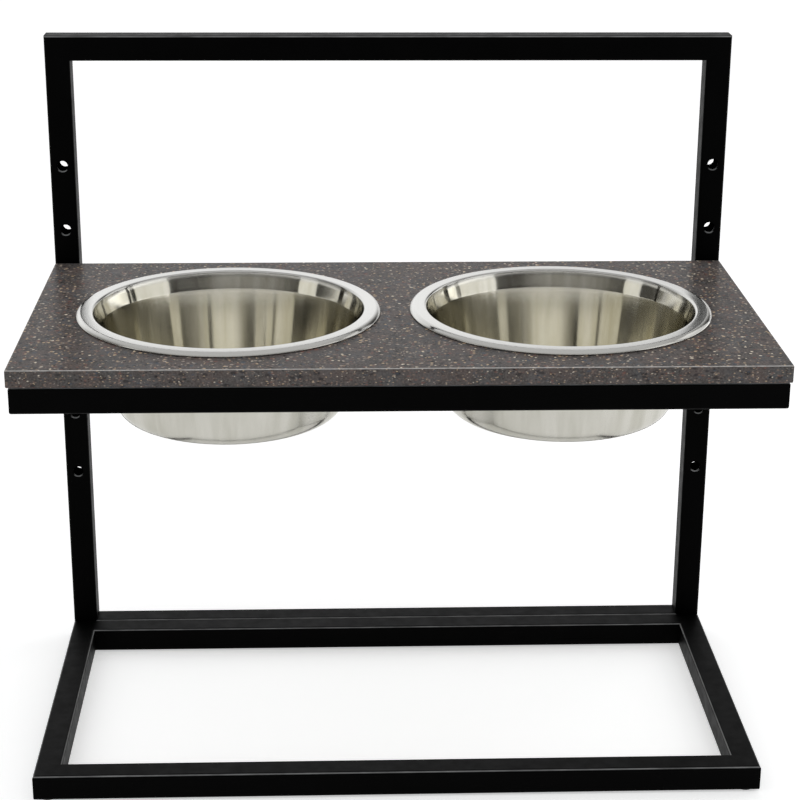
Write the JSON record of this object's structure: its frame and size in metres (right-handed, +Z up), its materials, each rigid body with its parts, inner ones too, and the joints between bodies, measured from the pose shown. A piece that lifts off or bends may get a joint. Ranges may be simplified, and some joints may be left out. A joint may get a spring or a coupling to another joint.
{
  "type": "raised pet feeder stand",
  "caption": "Raised feeder stand of square steel tube with a speckled stone-look shelf that holds drop-in steel bowls and moves up and down the drilled uprights.",
  "frame": {"origin": "on the floor under the middle of the whole part", "axes": "+X to the right as seen from the front, +Y to the back, +Z up; the shelf and bowls are in front of the uprights"},
  "size_m": [0.555, 0.3198, 0.5315],
  "materials": {
    "frame": "satin",
    "slab": "satin",
    "bowls": "polished",
    "fasteners": "satin",
    "inserts": "satin",
    "pads": "matte"
  },
  "bodies": {
    "stand": {"base_front_tube": "frame", "base_rear_tube": "frame", "base_left_tube": "frame", "base_right_tube": "frame", "back_top_tube": "frame", "back_bottom_tube": "frame", "left_upright": "frame", "right_upright": "frame", "feet": "pads", "frame_bolts": "fasteners", "frame_washers": "fasteners", "frame_rivet_nuts": "fasteners"},
    "shelf": {"shelf_front_tube": "frame", "shelf_rear_tube": "frame", "shelf_left_tube": "frame", "shelf_right_tube": "frame", "slab": "slab", "slab_screws": "fasteners", "slab_inserts": "inserts", "left_sleeve": "frame", "right_sleeve": "frame", "sleeve_nuts": "fasteners"},
    "left_bowl": {"left_bowl": "bowls"},
    "right_bowl": {"right_bowl": "bowls"},
    "left_lock_screw": {"left_lock_screw": "fasteners"},
    "right_lock_screw": {"right_lock_screw": "fasteners"}
  },
  "joints": [
    {"name": "shelf_height", "type": "slide", "parent": "stand", "child": "shelf", "axis": [0, 0, 1], "range_m": [-0.159, 0.106]},
    {"name": "left_bowl_lift", "type": "slide", "parent": "shelf", "child": "left_bowl", "axis": [0, 0, 1], "range_m": [0, 0.12]},
    {"name": "right_bowl_lift", "type": "slide", "parent": "shelf", "child": "right_bowl", "axis": [0, 0, 1], "range_m": [0, 0.12]},
    {"name": "left_screw_in", "type": "slide", "parent": "shelf", "child": "left_lock_screw", "axis": [0, -1, 0], "range_m": [0, 0.0055]},
    {"name": "right_screw_in", "type": "slide", "parent": "shelf", "child": "right_lock_screw", "axis": [0, -1, 0], "range_m": [0, 0.0055]}
  ]
}
